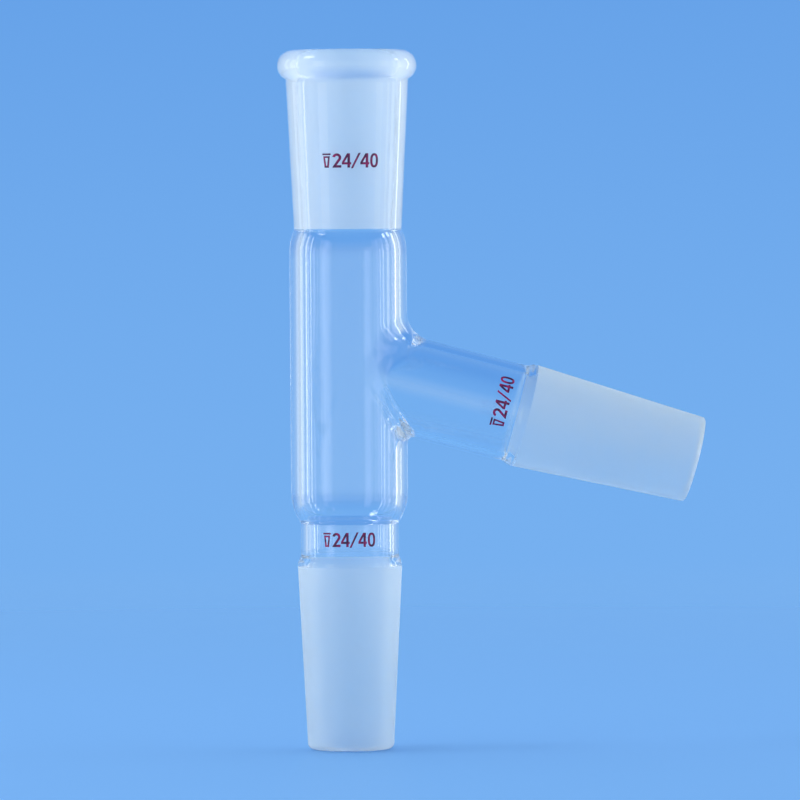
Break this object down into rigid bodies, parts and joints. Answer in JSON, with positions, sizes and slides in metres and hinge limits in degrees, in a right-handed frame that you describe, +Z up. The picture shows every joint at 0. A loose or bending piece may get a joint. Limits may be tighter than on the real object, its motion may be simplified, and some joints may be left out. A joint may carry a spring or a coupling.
{
  "type": "distillation head",
  "caption": "Upright glass tube with a tapered ground socket on top, a tapered ground cone below and a side arm that slopes down to a second ground cone.",
  "frame": {"origin": "on the main axis, in the plane of the lower cone's tip", "axes": "+Z up the main axis to the socket, +X towards the side arm, +Y away from the viewer who sees the arm on the right"},
  "size_m": [0.0984, 0.0322, 0.1611],
  "materials": {
    "clear_glass": "colourless borosilicate glass, fire-polished and clear",
    "ground_glass": "the same glass ground to a fine matt white on the two cones and inside the socket",
    "size_marks": "small dark red fired enamel figures"
  },
  "bodies": {
    "root": {"distillation_head": "clear_glass"}
  },
  "joints": []
}
